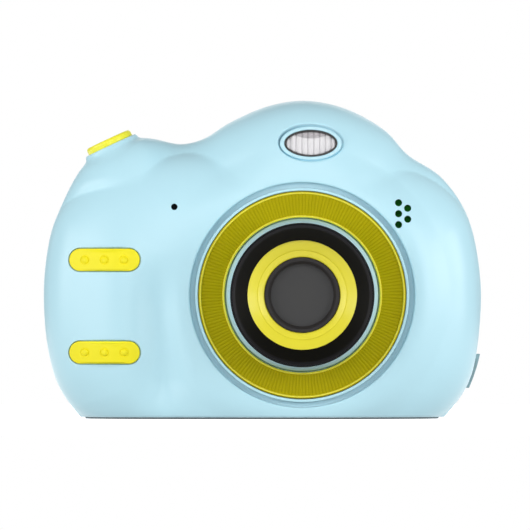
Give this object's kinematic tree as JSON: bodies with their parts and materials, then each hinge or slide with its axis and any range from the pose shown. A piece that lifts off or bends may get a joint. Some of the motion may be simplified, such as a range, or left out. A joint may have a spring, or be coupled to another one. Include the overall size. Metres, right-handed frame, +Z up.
{
  "type": "kids digital camera",
  "caption": "Toy digital camera with a rounded two-shell body, a large ribbed lens ring, an oval flash, soft grip pads, a tilted shutter button, rear screen and keys.",
  "frame": {"origin": "middle of the flat base, in the plane where the front and rear shells meet", "axes": "+X to the right seen from the front, the lens looks along -Y, +Z up"},
  "size_m": [0.0962, 0.0412, 0.0699],
  "materials": {
    "shell_blue": "satin moulded ABS, pale blue",
    "dark_rubber": "matt dark grey rubber",
    "lens_blue": "semi-gloss moulded ABS, pale blue",
    "ring_yellow": "semi-gloss, fine radial ribs, dark yellow",
    "black_gloss": "gloss black",
    "cone_yellow": "gloss yellow",
    "lens_glass": "polished, grey tinted",
    "black_plastic": "satin black",
    "sensor_blue": "sensor cover glass",
    "board_green": "glass-fibre board with solder mask",
    "flex_amber": "polyimide ribbon",
    "clear_plastic": "clear polycarbonate",
    "mirror_coat": "metallised plastic",
    "led_yellow": "phosphor gel",
    "pad_yellow": "soft satin rubber, yellow",
    "mesh_green": "fine woven mesh, dark green",
    "button_yellow": "gloss yellow",
    "door_rubber": "soft matt rubber, pale blue",
    "steel": "plated steel",
    "chip_black": "moulded epoxy",
    "foil_grey": "laminated foil pouch",
    "lead_red": "insulated wire",
    "lcd_dark": "display glass, off",
    "white_plastic": "satin white",
    "window_dark": "smoked acrylic"
  },
  "bodies": {
    "case": {"front_shell": "shell_blue", "rear_shell": "shell_blue", "base_pad": "dark_rubber", "lens_barrel": "lens_blue", "lens_outer_ring": "ring_yellow", "lens_bezel": "black_gloss", "lens_cone_ring": "cone_yellow", "lens_retaining_ring": "black_gloss", "lens_window": "lens_glass", "lens_cell": "black_plastic", "lens_element_front": "lens_glass", "lens_element_rear": "lens_glass", "lens_holder": "black_plastic", "image_sensor": "sensor_blue", "sensor_board": "board_green", "sensor_flex": "flex_amber", "flash_rim": "black_gloss", "flash_lens": "clear_plastic", "flash_reflector": "mirror_coat", "flash_led": "led_yellow", "flash_board": "board_green", "grip_pad_upper": "pad_yellow", "grip_pad_lower": "pad_yellow", "microphone": "black_plastic", "mic_boot": "dark_rubber", "speaker": "black_plastic", "speaker_mesh": "mesh_green", "shutter_switch": "black_plastic", "shutter_board": "board_green", "strap_lug": "shell_blue", "usb_socket": "steel", "card_socket": "steel", "main_pcb": "board_green", "pcb_chips": "chip_black", "battery": "foil_grey", "battery_lead": "lead_red", "lcd_panel": "lcd_dark", "lcd_frame": "white_plastic", "lcd_flex": "flex_amber", "display_window": "window_dark", "tact_switches": "black_plastic", "case_screws": "steel", "inner_screws": "steel"},
    "shutter": {"shutter_button": "button_yellow", "shutter_plunger": "black_plastic"},
    "door": {"port_door": "door_rubber"},
    "card": {"memory_card": "black_plastic"},
    "power_key": {"power_button": "button_yellow", "power_plunger": "black_plastic"},
    "up_key": {"up_button": "button_yellow", "up_plunger": "black_plastic"},
    "down_key": {"down_button": "button_yellow", "down_plunger": "black_plastic"},
    "left_key": {"left_button": "button_yellow", "left_plunger": "black_plastic"},
    "right_key": {"right_button": "button_yellow", "right_plunger": "black_plastic"},
    "ok_key": {"ok_button": "button_yellow", "ok_plunger": "black_plastic"}
  },
  "joints": [
    {"name": "shutter_press", "type": "slide", "parent": "case", "child": "shutter", "axis": [0.4226, 0, -0.9063], "range_m": [0, 0.0008], "stiffness_N_per_m": 1500, "springref_m": -0.0002},
    {"name": "power_press", "type": "slide", "parent": "case", "child": "power_key", "axis": [0, -1, 0], "range_m": [0, 0.0006], "stiffness_N_per_m": 1500, "springref_m": -0.0002},
    {"name": "up_press", "type": "slide", "parent": "case", "child": "up_key", "axis": [0, -1, 0], "range_m": [0, 0.0006], "stiffness_N_per_m": 1500, "springref_m": -0.0002},
    {"name": "down_press", "type": "slide", "parent": "case", "child": "down_key", "axis": [0, -1, 0], "range_m": [0, 0.0006], "stiffness_N_per_m": 1500, "springref_m": -0.0002},
    {"name": "left_press", "type": "slide", "parent": "case", "child": "left_key", "axis": [0, -1, 0], "range_m": [0, 0.0006], "stiffness_N_per_m": 1500, "springref_m": -0.0002},
    {"name": "right_press", "type": "slide", "parent": "case", "child": "right_key", "axis": [0, -1, 0], "range_m": [0, 0.0006], "stiffness_N_per_m": 1500, "springref_m": -0.0002},
    {"name": "ok_press", "type": "slide", "parent": "case", "child": "ok_key", "axis": [0, -1, 0], "range_m": [0, 0.0006], "stiffness_N_per_m": 1500, "springref_m": -0.0002},
    {"name": "card_push", "type": "slide", "parent": "case", "child": "card", "axis": [-1, 0, 0], "range_m": [0, 0.001], "stiffness_N_per_m": 400, "springref_m": -0.0002},
    {"name": "door_swing", "type": "hinge", "parent": "case", "child": "door", "pos_m": [0.0464, 0.0061, 0.041], "axis": [0, -1, 0], "range_deg": [0, 110], "stiffness_Nm_per_rad": 0.0006}
  ]
}
